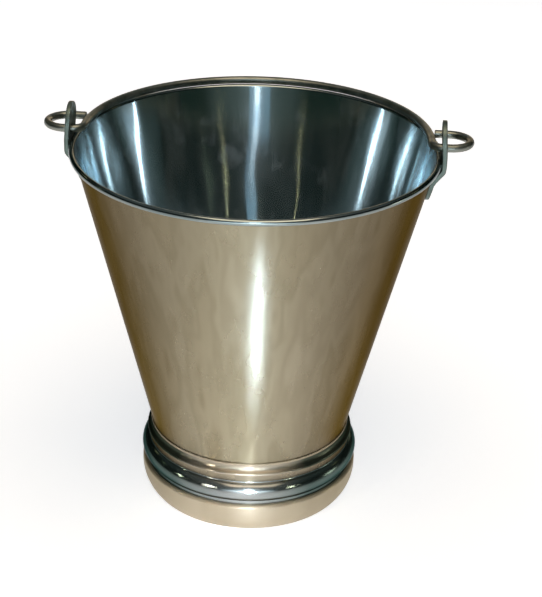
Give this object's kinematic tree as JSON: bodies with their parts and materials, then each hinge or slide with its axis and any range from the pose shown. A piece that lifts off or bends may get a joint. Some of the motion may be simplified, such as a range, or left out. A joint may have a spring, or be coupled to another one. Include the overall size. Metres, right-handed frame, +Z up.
{
  "type": "kick bucket pail",
  "caption": "Tapered stainless steel pail with a rolled wired rim, a spun round-moulded foot and a hinged wire bail with closed eyes through strap ears.",
  "frame": {"origin": "on the pail's axis at the floor, under the foot", "axes": "+Z up the pail's axis, +X through the ears along the bail's hinge line, -Y the front, +Y the rear rim that the bail rests on"},
  "size_m": [0.3502, 0.3032, 0.3412],
  "materials": {
    "satin_steel": "satin outside, mirror polished inside",
    "polished_steel": "bright polished",
    "wire_steel": "drawn wire, dull polished"
  },
  "bodies": {
    "pail": {"body_shell": "satin_steel", "rim_wire": "satin_steel", "bottom_disc": "satin_steel", "base_collar": "polished_steel", "foot_band": "satin_steel", "ear_left": "polished_steel", "ear_right": "polished_steel"},
    "bail": {"bail": "wire_steel"}
  },
  "joints": [
    {"name": "bail_hinge", "type": "hinge", "parent": "pail", "child": "bail", "pos_m": [0, 0, 0.3186], "axis": [1, 0, 0], "range_deg": [0, 182]}
  ]
}
